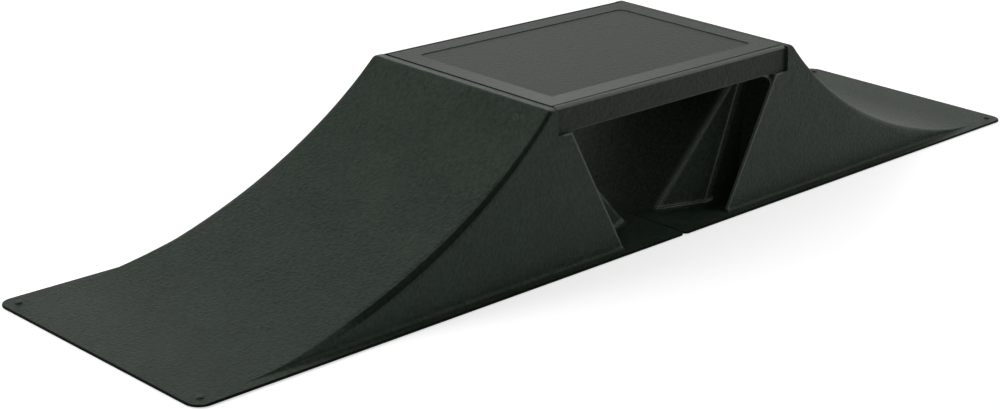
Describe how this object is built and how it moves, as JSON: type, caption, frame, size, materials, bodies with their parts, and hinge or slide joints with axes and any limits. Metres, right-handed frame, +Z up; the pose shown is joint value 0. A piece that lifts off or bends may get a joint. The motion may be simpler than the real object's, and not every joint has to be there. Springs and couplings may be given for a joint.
{
  "type": "mini ramp set",
  "caption": "Moulded plastic ride-over ramp set for skateboards, scooters and small bikes: curved launch ramps standing back to back on rubber feet, with a lift-off table top between their lips.",
  "frame": {"origin": "on the ground, under the middle of the seam between the two ramps", "axes": "+X along the set towards the toe of ramp B, +Y across it, +Z up"},
  "size_m": [1.652, 0.38, 0.217],
  "materials": {
    "ramp_plastic": "satin, finely grained moulded black plastic",
    "table_plastic": "satin, finely grained moulded black plastic",
    "foot_rubber": "dull black rubber"
  },
  "bodies": {
    "ramp_a": {"ramp_a_shell": "ramp_plastic", "foot_a_toe_right": "foot_rubber", "foot_a_toe_left": "foot_rubber", "foot_a_seam_right": "foot_rubber", "foot_a_seam_left": "foot_rubber"},
    "ramp_b": {"ramp_b_shell": "ramp_plastic", "foot_b_toe_right": "foot_rubber", "foot_b_toe_left": "foot_rubber", "foot_b_seam_right": "foot_rubber", "foot_b_seam_left": "foot_rubber"},
    "table": {"table_top": "table_plastic"}
  },
  "joints": [
    {"name": "table_lift", "type": "slide", "parent": "ramp_a", "child": "table", "axis": [0, 0, 1], "range_m": [0, 0.12]},
    {"name": "ramp_pull_apart", "type": "slide", "parent": "ramp_a", "child": "ramp_b", "axis": [1, 0, 0], "range_m": [0, 0.3]}
  ]
}
